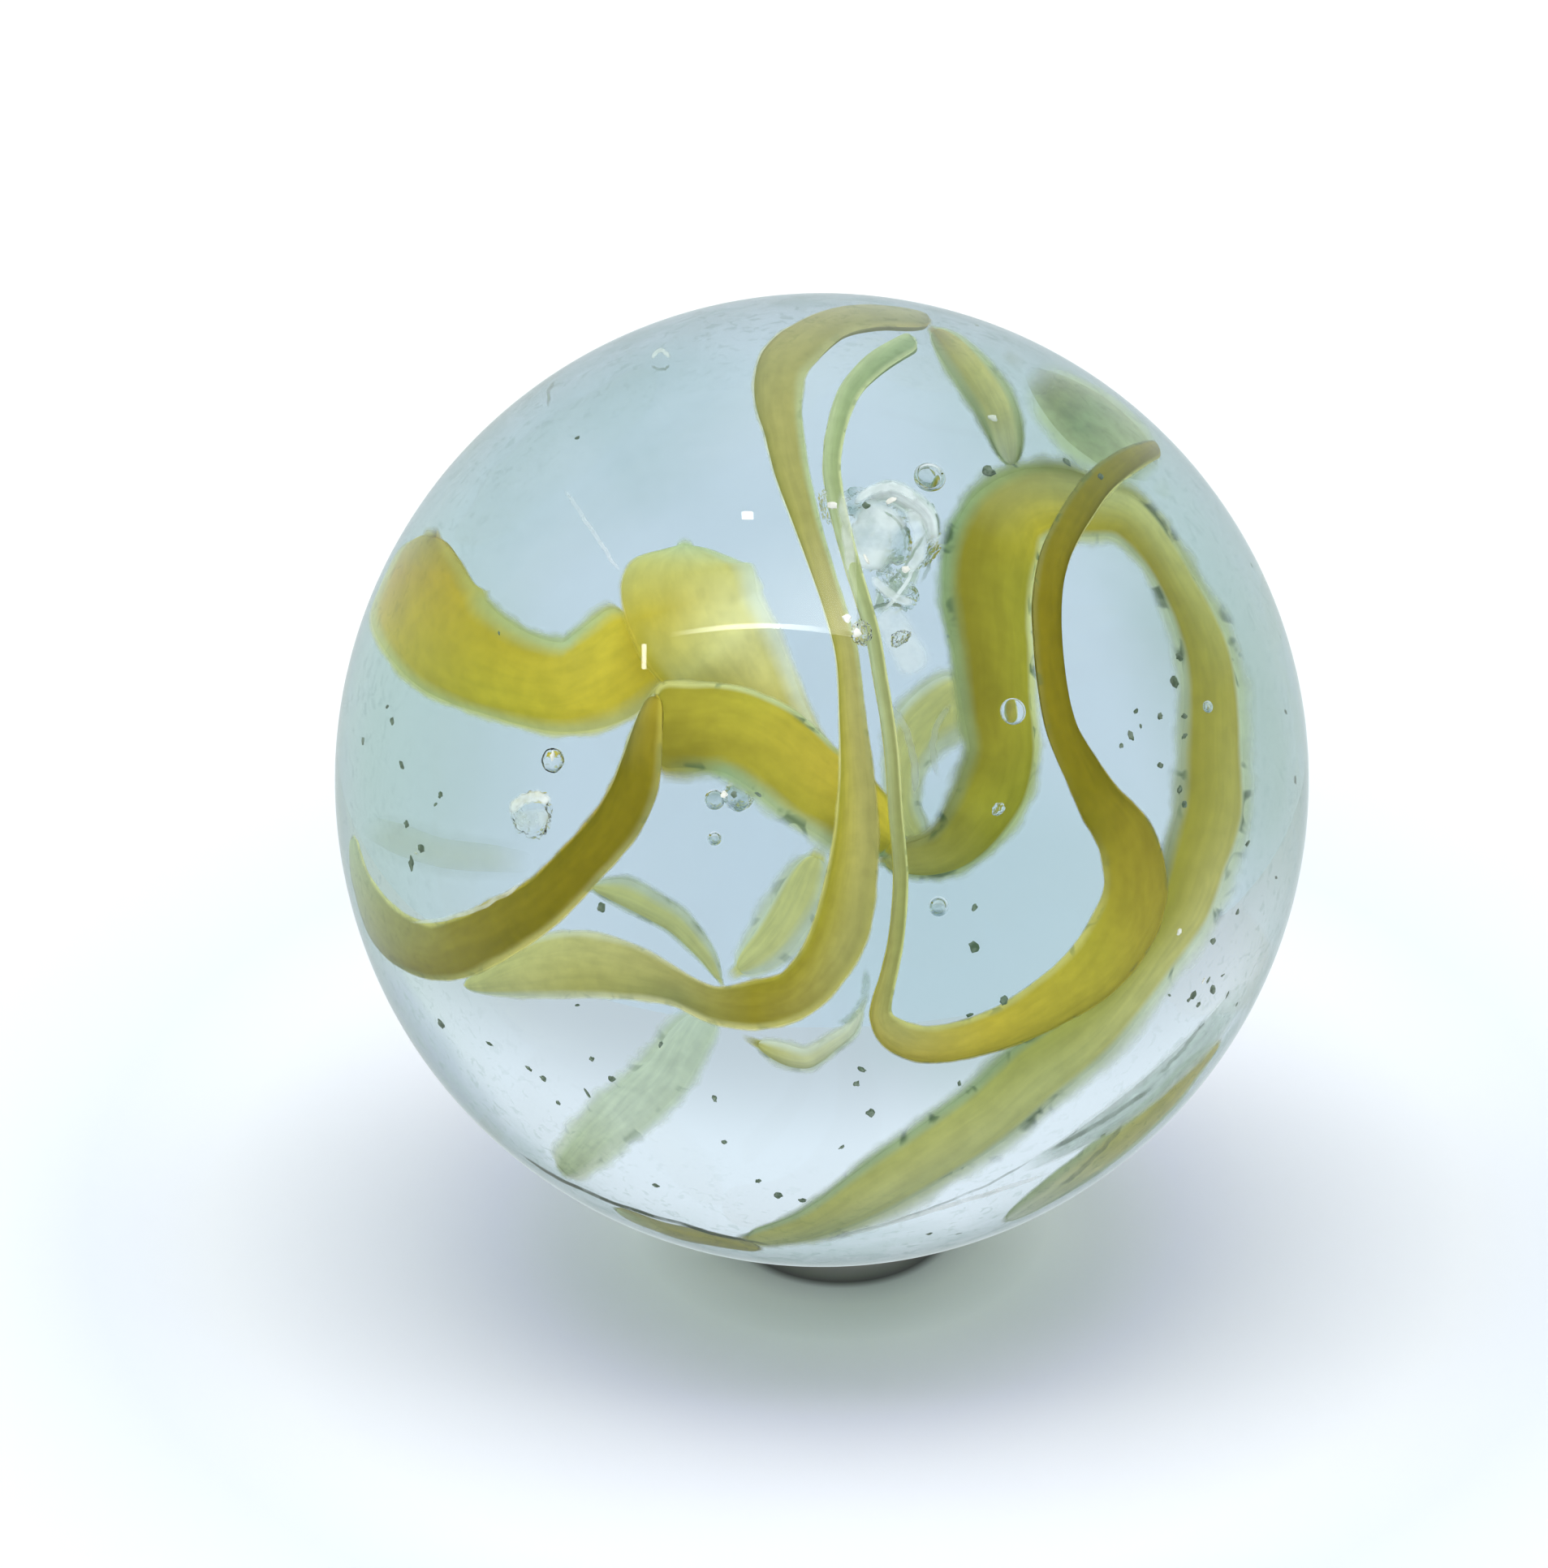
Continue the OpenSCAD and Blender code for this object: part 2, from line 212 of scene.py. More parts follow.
# Bubbles, as (across, up, depth, width, height, thickness, crumple), the three sizes in millimetres.
# The flat and crumpled ones are folds that trapped a film of air.
bubbles = [
    (-59, -7, 12, 0.70, 0.66, 0.12, 0.3), (12, 49, 34, 0.74, 0.74, 0.24, 0.3),
    (-55, 4, 14, 0.37, 0.37, 0.14, 0.05), (22, 62, 30, 0.42, 0.42, 0.30, 0),
    (21, 47, 32, 0.26, 0.50, 0.14, 0.5), (9, 57, 37, 0.60, 0.34, 0.12, 0.5),
    (15, 39, 36, 0.40, 0.56, 0.12, 0.5), (18, 55, 36, 0.50, 0.24, 0.10, 0.5),
    (-17, -3, 44, 0.38, 0.38, 0.30, 0.1), (39, 14, 20, 0.38, 0.38, 0.10, 0),
    (8, 30, 16, 0.26, 0.40, 0.12, 0.4), (36, -6, 22, 0.20, 0.16, 0.06, 0.2),
    (-22, -12, 50, 0.16, 0.16, 0.16, 0), (-22, -4, 44, 0.24, 0.24, 0.16, 0),
    (24, -26, 60, 0.20, 0.20, 0.20, 0), (79, 15, 30, 0.16, 0.16, 0.16, 0),
    (16, 29, 14, 0.30, 0.22, 0.10, 0.4), (1, 56, 26, 0.20, 0.50, 0.08, 0.4),
]
bm = bmesh.new()
for i, (across, up, depth, *size, crumple) in enumerate(bubbles):
    shape = Matrix.Diagonal([size[k] / 2000 for k in (0, 2, 1)])
    turn = Matrix.Rotation(0.7 * math.sin(5 * i) if size[0] != size[1] else 0, 3, "Y")
    for v in bmesh.ops.create_icosphere(bm, subdivisions=5, radius=1)["verts"]:
        dent = noise.noise(1.7 * v.co + Vector((i, 0, 0))) + 0.5 * noise.noise(5 * v.co)
        v.co = seen_at(across, up, depth) + as_it_lies @ turn @ shape @ v.co * (1 + crumple * dent)
bmesh.ops.reverse_faces(bm, faces=bm.faces)
bmesh.ops.create_icosphere(bm, subdivisions=7, radius=marble_r, matrix=Matrix.Translation(centre))
piece("glass_ball", bm, clear_glass, "clear_glass", "clear_glass")


# The wide ribbons: opaque yellow glass, drawn out flat and folded into the clear glass. Their rims
# thin out to a greenish film where the two glasses have melted together.
def sections_of(node, start):
    """Middle, half width and half thickness of a ribbon's sections, from the end nearest start."""
    bm = bmesh.new()
    bm.from_mesh(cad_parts[node].data)
    bmesh.ops.remove_doubles(bm, verts=bm.verts, dist=1e-6)
    bm.verts.ensure_lookup_table()
    flats = bm.copy()
    bmesh.ops.dissolve_limit(flats, angle_limit=0.01, verts=[], edges=flats.edges)
    ends = [f for f in flats.faces
            if len(f.verts) == 6 and min(e.calc_face_angle() for e in f.edges) > 0.3]
    first = min(ends, key=lambda f: (f.calc_center_median() - seen_at(*start)).length)
    ring = {bm.verts[v.index] for v in first.verts}
    met, sections = set(), []
    while ring:
        points = [v.co.copy() for v in ring]
        middle = sum(points, Vector()) / len(points)
        rims = max(combinations(points, 2), key=lambda pair: (pair[0] - pair[1]).length)
        across = (rims[0] - rims[1]) / 2
        faces = [p - middle for p in points if p not in rims]
        flat = max((p - p.project(across) for p in faces), key=lambda p: p.length)
        sections.append([middle, across, flat / math.sin(math.radians(60))])
        met |= ring
        ring = {e.other_vert(v) for v in ring for e in v.link_edges} - met
    bm.free()
    flats.free()
    for (_, *before), (_, *after) in zip(sections, sections[1:]):
        for one, other in zip(before, after):
            if one.dot(other) < 0:
                other.negate()
    if sum(a[1].dot((b[0] - a[0]).cross(sight)) for a, b in zip(sections, sections[1:])) < 0:
        for section in sections:
            section[1].negate()
    return sections


def spacing(sections):
    """Mean distance from one section to the next."""
    return sum((b[0] - a[0]).length for a, b in zip(sections, sections[1:])) / (len(sections) - 1)


def along_ribbon(sections, share):
    """Middle, half width and half thickness at a share of the way along, on a smooth curve."""
    last = len(sections) - 1
    inside = min(max(share, 0), 1) * last
    i = min(int(inside), last - 1)
    t = inside - i
    a, b, c, d = (sections[min(max(k, 0), last)] for k in (i - 1, i, i + 1, i + 2))
    here = [q + (r - p) * t / 2 + (2 * p - 5 * q + 4 * r - e) * t * t / 2
            + (3 * q - p - 3 * r + e) * t ** 3 / 2 for p, q, r, e in zip(a, b, c, d)]
    for past, end, before in ((share - 1, -1, -2), (-share, 0, 1)):
        outwards = (sections[end][0] - sections[before][0]).normalized()
        here[0] = here[0] + outwards * max(past, 0) * last * spacing(sections)
    return here


end_power = 2.5


def rounded(share, tip, margin=0):
    """Share of its full width that a ribbon, or a margin round it, has where its ends round off."""
    near_end = min(max((min(share, 1 - share) + margin) / (tip + margin), 0), 1)
    return (1 - (1 - near_end) ** end_power) ** (1 / end_power)


def attribute(tree, name):
    """A value that each vertex carries."""
    node = tree.nodes.new("ShaderNodeAttribute")
    node.attribute_name = name
    return node.outputs["Fac"]


def new_group(name, output, kind, inputs):
    """A node group with one output. Returns it, its inputs' sockets and a way to end it."""
    group = bpy.data.node_groups.new(name, "ShaderNodeTree")
    for title, sort in inputs:
        group.interface.new_socket(title, in_out="INPUT", socket_type="NodeSocket" + sort)
    group.interface.new_socket(output, in_out="OUTPUT", socket_type="NodeSocket" + kind)
    return group, group.nodes.new("NodeGroupInput").outputs, group.nodes.new("NodeGroupOutput").inputs[0]


# Colour of folded glass: one colour by its left rim and one by its right, drawn-out streaks, rims
# that turn another colour where they thin out, and dark green flecks.
folded_glass, given, result = new_group("folded_glass", "Color", "Color", [
    ("Left", "Color"), ("Right", "Color"), ("Left Rim", "Color"), ("Right Rim", "Color"),
    ("Left Rim Width", "Float"), ("Right Rim Width", "Float"), ("Streaks", "Float"), ("Length", "Float"),
    ("Flecks", "Float")])
across_it = attribute(folded_glass, "across")
drawn = folded_glass.nodes.new("ShaderNodeCombineXYZ")
feed(folded_glass, drawn.inputs[0], maths(folded_glass, "MULTIPLY", across_it, 2.5))
feed(folded_glass, drawn.inputs[1],
     maths(folded_glass, "MULTIPLY", attribute(folded_glass, "along"), given["Length"]))
streaks = grain(folded_glass, drawn.outputs[0], 1.3, 4, 0.4)
strength = fade(folded_glass, streaks, 0.3, 0.7, -1, 1)
hue = folded_glass.nodes.new("ShaderNodeHueSaturation")
feed(folded_glass, hue.inputs["Color"],
     mix(folded_glass, fade(folded_glass, across_it, -0.8, 0.8), given["Left"], given["Right"]))
feed(folded_glass, hue.inputs["Value"],
     maths(folded_glass, "MULTIPLY_ADD", strength, given["Streaks"], 1.0))
body = hue.outputs["Color"]
wander = maths(folded_glass, "MULTIPLY_ADD", grain(folded_glass, drawn.outputs[0], 2.5), 0.5, -0.25)
for side, rim in ((-1, "Left Rim"), (1, "Right Rim")):
    reach = maths(folded_glass, "MULTIPLY", across_it, side)
    inner = maths(folded_glass, "SUBTRACT", 1.0, given[rim + " Width"])
    inner = maths(folded_glass, "MULTIPLY_ADD", wander, given[rim + " Width"], inner)
    body = mix(folded_glass, fade(folded_glass, reach, inner, 1.0), body, given[rim])
where = folded_glass.nodes.new("ShaderNodeTexCoord").outputs["Object"]
spots = fade(folded_glass, grain(folded_glass, where, 2600, 2, 0.6), 0.56, 0.66)
by_rim = fade(folded_glass, maths(folded_glass, "ABSOLUTE", across_it), 0.8, 1.0, 0, 1)
spots = maths(folded_glass, "MULTIPLY", maths(folded_glass, "MULTIPLY", spots, by_rim), given["Flecks"])
body = mix(folded_glass, spots, body, tint(84, 108, 74))
mottle = folded_glass.nodes.new("ShaderNodeHueSaturation")
feed(folded_glass, mottle.inputs["Color"], body)
fine = grain(folded_glass, where, 4200, 5)
feed(folded_glass, mottle.inputs["Value"], fade(folded_glass, fine, 0.3, 0.7, 0.95, 1.05))
body = mottle.outputs["Color"]
feed(folded_glass, result, body)


def ribbon_glass(name, colours, rim_widths, streaks, flecks, length, cover, fringe):
    """Material of one ribbon. colours holds its left, right, left rim and right rim shades, each as
    one shade or as (share, shade) along the ribbon. cover is how much it hides of what is behind."""
    material, tree, shader = new_material(name, Roughness=1, Specular_IOR_Level=0)
    look = tree.nodes.new("ShaderNodeGroup")
    look.node_tree = folded_glass
    for socket, stops in zip(look.inputs, colours):
        if not isinstance(stops, list):
            socket.default_value = tint(*stops)
            continue
        ramp = tree.nodes.new("ShaderNodeValToRGB")
        for spare in range(len(stops) - 2):
            ramp.color_ramp.elements.new(0.5)
        for stop, (share, shade) in zip(ramp.color_ramp.elements, stops):
            stop.position, stop.color = share, tint(*shade)
        feed(tree, ramp.inputs[0], attribute(tree, "along"))
        feed(tree, socket, ramp.outputs[0])
    for socket, value in zip(list(look.inputs)[4:], (*rim_widths, streaks, length, flecks)):
        socket.default_value = value
    feed(tree, shader.inputs["Base Color"], look.outputs[0])
    if fringe or cover < 1:
        where = tree.nodes.new("ShaderNodeTexCoord").outputs["Object"]
        patchy = grain(tree, where, 2500, 3)
        beyond = maths(tree, "MULTIPLY", attribute(tree, "beyond"), fade(tree, patchy, 0.3, 0.7, 0.8, 1.3))
        hides = fade(tree, patchy, 0.3, 0.7, 0.6 * cover, cover)
        if fringe:
            hides = fade(tree, beyond, 0, 1, cover, 0)
        if cover < 1:
            nearest_end = maths(tree, "PINGPONG", attribute(tree, "along"), 0.5)
            hides = maths(tree, "MULTIPLY", hides, fade(tree, nearest_end, 0, 0.25))
        feed(tree, shader.inputs["Alpha"], hides)
    return material


def ribbon(node, start, left, right=None, left_rim=(190, 190, 110), right_rim=(190, 190, 110),
           rim_widths=(0.2, 0.2), fringes=(0.1, 0.1), streaks=0.06, flecks=0.0, slot="yellow_glass", cover=1,
           tip=0.25):
    """Both pieces of one ribbon: its body, and the thin fringe that it melts out into. Fringes and
    the tip, over which its ends round off, are in millimetres, rim widths in shares of half its width."""
    sections = sections_of(node, start)
    length = spacing(sections) * (len(sections) - 1)
    rows = 8 * (len(sections) - 1)
    tip *= 0.001 / length
    looks = ((left, right or left, left_rim, right_rim), rim_widths, streaks, flecks, length * 1000, cover)

    bm = bmesh.new()
    across_layer, along_layer = (bm.verts.layers.float.new(name) for name in ("across", "along"))
    bmesh.ops.create_grid(bm, x_segments=28, y_segments=rows, size=1)
    for v in bm.verts:
        turn, share = math.pi * v.co.x, 0.5 + 0.5 * math.sin(math.pi / 2 * v.co.y)
        middle, across, flat = along_ribbon(sections, share)
        swell = rounded(share, tip)
        ragged = 1 + 0.05 * noise.noise(Vector((share * length * 1500, 0, len(node))))
        thickness = flat * math.sin(turn) * abs(math.sin(turn))
        v.co = middle + (across * ragged * math.cos(turn) + thickness) * swell
        v[across_layer], v[along_layer] = -math.cos(turn), share
    bmesh.ops.remove_doubles(bm, verts=bm.verts, dist=1e-7)
    bmesh.ops.recalc_face_normals(bm, faces=bm.faces)
    piece(node + "_glass", bm, ribbon_glass(node, *looks, False), slot, node)

    bm = bmesh.new()
    across_layer, along_layer, beyond_layer = (
        bm.verts.layers.float.new(name) for name in ("across", "along", "beyond"))
    bmesh.ops.create_grid(bm, x_segments=24, y_segments=rows, size=1)
    past_end = max(fringes) / 1000 / length
    for v in bm.verts:
        side, share = v.co.x, 0.5 + (0.5 + past_end) * math.sin(math.pi / 2 * v.co.y)
        middle, across, _ = along_ribbon(sections, share)
        half_w = across.length * rounded(share, tip)
        fringe = fringes[0 if side < 0 else 1] / 1000 * min(across.length / 0.0003, 1)
        margin = (across.length + fringe) * rounded(share, tip, past_end) - half_w
        ragged = 1 + 0.15 * noise.noise(Vector((share * length * 3000, side, len(node))))
        v.co = middle - across.normalized() * side * (half_w + margin * ragged)
        off = abs(side) * (half_w + margin)
        past_side = (off - half_w) / fringe if 0 < share < 1 else 1
        end_curve = tip * (1 - max(1 - (off / across.length) ** end_power, 0) ** (1 / end_power))
        past_tip = (end_curve - min(share, 1 - share)) / past_end if off < across.length else 1
        v[across_layer] = side * (half_w + margin) / max(half_w, fringe)
        v[along_layer], v[beyond_layer] = share, min(max(min(past_side, past_tip), 0), 1)
    bmesh.ops.remove_doubles(bm, verts=bm.verts, dist=1e-7)
    piece(node + "_fringe", bm, ribbon_glass(node + "_fringe", *looks, True), slot)


# Shades of the yellow glass: deep where it is thick, greener where it has mixed, pale where it is thin.
# Along each ribbon they also paint its light and shade: the olive and ochre stops are partly painted
# shade where a ribbon faces away from the light, and the palest are partly painted light where it is lit.
olive, ochre, brass = (130, 120, 25), (160, 145, 45), (190, 175, 60)
amber, gold, lemon = (220, 180, 20), (215, 190, 70), (245, 215, 70)
moss, reed, bottle = (150, 150, 90), (180, 170, 100), (160, 180, 130)
straw, cream, sage, milk = (215, 205, 120), (245, 235, 160), (200, 210, 160), (245, 245, 220)
ribbon("left_band", (-81, 50, 46), fringes=(0.14, 0.10), rim_widths=(0.35, 0.35), tip=0.6,
       left=[(0, ochre), (0.15, amber), (0.7, gold), (1, lemon)],
       right=[(0, straw), (0.15, amber), (0.5, lemon)],
       left_rim=[(0, gold), (0.7, sage), (1, straw)],
       right_rim=[(0, straw), (0.5, cream), (1, straw)])
ribbon("arch_band", (-28, 48, 37), slot="bright_yellow_glass", fringes=(0.12, 0.08), rim_widths=(0.35, 0.25),
       tip=0.9,
       left=[(0, sage), (0.2, straw), (0.45, cream), (0.8, gold)],
       right=[(0, sage), (0.15, straw), (0.3, gold), (0.45, straw), (0.6, brass)],
       left_rim=[(0, sage), (0.5, milk), (1, cream)],
       right_rim=[(0, sage), (0.3, gold), (0.5, brass), (1, straw)])
ribbon("centre_sheet", (-34, 11, 30), fringes=(0.06, 0.2), rim_widths=(0.15, 0.35), flecks=0.7,
       left=[(0, ochre), (0.3, brass), (0.6, gold), (1, lemon)],
       right=[(0, ochre), (0.6, brass)],
       left_rim=[(0, straw), (0.5, sage), (0.7, brass), (1, gold)],
       right_rim=[(0, ochre), (0.3, bottle), (0.7, sage), (1, bottle)])
ribbon("crook_band", (13, -16, 44), fringes=(0.2, 0.16), rim_widths=(0.3, 0.28), flecks=0.8,
       left=[(0, reed), (0.12, brass), (0.2, ochre), (0.3, ochre), (0.4, cream), (0.55, gold), (0.8, cream)],
       right=[(0, straw), (0.1, brass), (0.28, brass), (0.34, lemon), (0.5, gold), (0.7, brass),
              (0.85, straw)],
       left_rim=[(0, reed), (0.3, bottle), (0.4, straw), (0.55, milk), (0.85, milk), (1, cream)],
       right_rim=[(0, sage), (0.3, cream), (0.5, milk), (0.7, moss), (0.85, sage)])
# The front hook is kept olive, partly as painted shade: its side toward the front faces away from the light.
ribbon("front_hook", (-34, 17, 8), slot="olive_glass", fringes=(0.05, 0.09), rim_widths=(0.26, 0.14),
       flecks=0.3,
       left=[(0, ochre), (0.15, olive), (0.5, olive), (0.7, ochre), (1, sage)],
       right=[(0, moss), (0.15, olive), (0.35, olive), (0.6, ochre), (0.8, reed), (1, sage)],
       left_rim=[(0, brass), (0.2, moss), (0.5, straw), (0.8, moss)],
       right_rim=[(0, sage), (0.25, ochre), (0.5, brass), (0.8, cream)])
ribbon("tall_loop", (22, 94, 38), fringes=(0.06, 0.06), rim_widths=(0.25, 0.25), flecks=0.25, tip=0.6,
       left=[(0, moss), (0.2, reed), (0.62, reed), (0.72, ochre), (0.8, moss), (0.9, straw), (1, cream)],
       right=[(0, moss), (0.2, reed), (0.5, brass), (0.72, ochre), (0.8, reed), (1, cream)],
       left_rim=[(0, reed), (0.3, sage), (0.5, reed), (0.7, straw), (1, milk)],
       right_rim=[(0, reed), (0.3, milk), (0.5, straw), (0.7, brass), (1, milk)])
# The wave band's olive stretch near the front is partly painted shade, on the side that faces away from the
# light.
ribbon("wave_band", (19, 90, 32), slot="olive_glass", fringes=(0.06, 0.06), rim_widths=(0.2, 0.3), flecks=0.4,
       left=[(0, bottle), (0.3, moss), (0.45, reed), (0.52, gold), (0.6, brass), (0.66, ochre), (0.72, olive),
             (0.85, olive), (1, ochre)],
       right=[(0, sage), (0.25, sage), (0.35, reed), (0.5, gold), (0.6, brass), (0.66, ochre), (0.72, olive),
              (0.85, olive), (1, ochre)],
       left_rim=[(0, sage), (0.6, straw), (0.7, olive), (1, moss)],
       right_rim=[(0, sage), (0.4, brass), (0.7, ochre), (0.85, straw), (0.95, cream), (1, brass)])

# The pale strands: thin veils of the same yellow glass, drawn so fine that they read as cloudy
# green streaks. They lie loose from the wide ribbons, in the same clear glass.
for node, start, shade, rim, fringe, cover in (
        ("shoulder_strand", (23, 92, 44), [(0, reed), (0.35, straw), (0.6, cream), (1, milk)], sage, 0.14, 1),
        ("short_link", (31, 19, 58), cream, milk, 0.16, 1),
        ("rim_band", (81, -54, 32), [(0, brass), (0.5, straw), (1, milk)], sage, 0.12, 1),
        ("rim_sliver", (-42, -88, 28), [(0, sage), (0.4, brass)], reed, 0.1, 1),
        ("foot_crescent", (-13, -54, 40), [(0, straw), (1, milk)], milk, 0.26, 1),
        ("middle_wisp", (-47, -22, 62), cream, milk, 0.16, 1),
        ("cross_wisp", (-1, -16, 54), cream, milk, 0.2, 1),
        ("low_wisp", (-23, -48, 68), [(0, milk), (0.6, milk), (1, sage)], milk, 0.22, 1),
        ("side_wisp", (-94, -9, 35), cream, milk, 0.3, 0.13),
        ("green_haze", (42, 84, 36), [(0, moss), (0.4, bottle), (0.7, sage)], sage, 0.4, 0.85)):
    ribbon(node, start, slot="pale_glass", left=shade, left_rim=rim, right_rim=rim, rim_widths=(0.5, 0.5),
           tip=0.35, fringes=(fringe, fringe), streaks=0.08, flecks=0.35, cover=cover)

# The cloudy films: fine bubbles and dust, spread thin where two folds of clear glass closed on
# each other. A curl and a fold lie beside the bubbles, and a scuffed veil low on the right.
for node, start, shade, rim, cover in (
        ("film_curl", (8, 57, 29), (252, 254, 252), (240, 248, 242), 0.8),
        ("film_fold", (20, 44, 41), (222, 232, 216), (242, 248, 240), 0.8),
        ("scuff_veil", (87, -41, 24), (214, 228, 220), (226, 234, 230), 0.5)):
    ribbon(node, start, slot="cloudy_glass", tip=0.5, left=shade, left_rim=rim, right_rim=rim,
           rim_widths=(0.5, 0.5), fringes=(0.15, 0.15), streaks=0.15, flecks=0.8, cover=cover)

# Marks of making and of use: white streaks of fine bubbles deep in the glass by the cloudy films, the
# crease that rolling left round the foot of the ball, and scuffs and scratches just inside its skin.
# Each is (start, middle, end, width, depth, tone, cover): the places and the width in percent of the
# radius on the face, the tone from dark green at 0 to white at 1.
marks = [
    ((12, 34), (17, 40), (19, 45), 1.2, 32, 1.0, 0.9), ((11, 54), (16, 53), (18, 49), 1.2, 33, 0.1, 0.7),
    ((6, 38), (8, 44), (5, 50), 1.4, 33, 1.0, 0.8), ((9, 34), (13, 36), (17, 35), 1.0, 33, 0.2, 0.7),
    ((7, 43), (10, 50), (14, 57), 13, 29, 1.0, 0.8), ((6, 56), (13, 60), (20, 57), 2.5, 28, 1.0, 0.8),
    ((17, 56), (20, 49), (17, 42), 4.0, 28, 1.0, 0.6), ((10, 42), (14, 38), (19, 36), 2.5, 28, 1.0, 0.6),
    ((13, 40), (17, 44), (22, 52), 0.8, 27, 0.25, 0.6), ((12, 55), (16, 52), (17, 46), 0.8, 27, 0.3, 0.6),
    ((4, 60), (6, 44), (10, 26), 3.0, 22, 1.0, 0.45), ((12, 35), (16, 29), (20, 21), 9, 30, 1.0, 0.5),
    ((20, 52), (22, 46), (20, 40), 1.2, 33, 0.3, 0.6), ((7, 52), (10, 57), (15, 58), 1.0, 30, 0.25, 0.6),
    ((13, 16), (18, 8), (19, -4), 2.2, 48, 1.0, 0.55), ((27, 16), (23, 9), (24, 0), 2.0, 50, 1.0, 0.4),
    ((3, -50), (8, -46), (9, -38), 2.4, 36, 0.5, 0.5),
    # Painted highlight: a white streak and a pale wash over the big bubble low on the left.
    ((-64, -7), (-60, -3.6), (-55, -4.5), 3.0, 8, 1.0, 0.9),
    ((-63, -9), (-59, -8), (-55, -8), 5.0, 9, 0.8, 0.35),
    ((-64, -75), (-43, -86.5), (-8, -96), 0.9, 1, 0.0, 1.1),
    ((-2, -95), (23, -88), (48, -80), 1.2, 1, 1.0, 0.6),
    ((-3, -95), (24, -87), (44, -77), 0.6, 2, 0.15, 0.45),
    ((68, -61), (74, -55), (78, -49), 1.0, 2, 0.1, 0.4), ((46, -76), (57, -70), (69, -62), 1.3, 1, 0.1, 0.6),
    # The small pit near the top, drawn from (-35, 86), is a white crescent over a dark one: painted highlight
    # and painted shade.
    ((-56, 76), (-55, 82), (-50, 86), 1.0, 1, 0.2, 0.6), ((-35, 86), (-33, 88), (-31, 86), 1.2, 1, 1.0, 0.7),
    ((-35, 85), (-33, 84), (-31, 85), 0.8, 1, 0.2, 0.6), ((-53, 60), (-47, 51), (-41, 42), 1.2, 3, 1.0, 0.28),
    ((48, -84), (56, -77), (62, -70), 1.2, 1, 0.1, 0.5),
    ((-60, -20), (-72, -27), (-85, -29), 1.2, 7, 1.0, 0.5),
]
bm = bmesh.new()
tone_layer, cover_layer, edge_layer = (bm.verts.layers.float.new(name) for name in ("tone", "cover", "edge"))
for start, middle, end, width, depth, tone, cover in marks:
    start, middle, end = (Vector(p) for p in (start, middle, end))
    strip = bmesh.ops.create_grid(bm, x_segments=6, y_segments=32, size=1)["verts"]
    for v in strip:
        side, t = v.co.x, (v.co.y + 1) / 2
        ahead = ((middle - start) * (1 - t) + (end - middle) * t).normalized()
        spot = start * (1 - t) ** 2 + (4 * middle - start - end) * t * (1 - t) + end * t * t
        wobble = 0.35 * noise.noise(Vector((9 * t, start.x, 0)))
        spot += Vector((-ahead.y, ahead.x)) * (side * width / 2 + wobble)
        v.co = seen_at(spot.x, spot.y, depth)
        v[tone_layer], v[cover_layer] = tone, cover
        v[edge_layer] = 1 - min(math.hypot(side, max(abs(2 * t - 1) - 0.6, 0) / 0.4), 1)
mark, tree, shader = new_material("surface_mark", Roughness=1, Specular_IOR_Level=0)
shades = tree.nodes.new("ShaderNodeValToRGB")
shades.color_ramp.elements.new(0.5)
for stop, (share, shade) in zip(shades.color_ramp.elements, (
        (0, (48, 72, 46)), (0.5, (178, 196, 170)), (1, (250, 252, 250)))):
    stop.position, stop.color = share, tint(*shade)
feed(tree, shades.inputs[0], attribute(tree, "tone"))
feed(tree, shader.inputs["Base Color"], shades.outputs[0])
where = tree.nodes.new("ShaderNodeTexCoord").outputs["Object"]
patchy = fade(tree, grain(tree, where, 2500, 4), 0.25, 0.65, 0.5, 1.1)
cover = maths(tree, "MULTIPLY", fade(tree, attribute(tree, "edge"), 0, 0.6), attribute(tree, "cover"))
feed(tree, shader.inputs["Alpha"], maths(tree, "MULTIPLY", cover, patchy))
piece("surface_marks", bm, mark, "pale_glass")

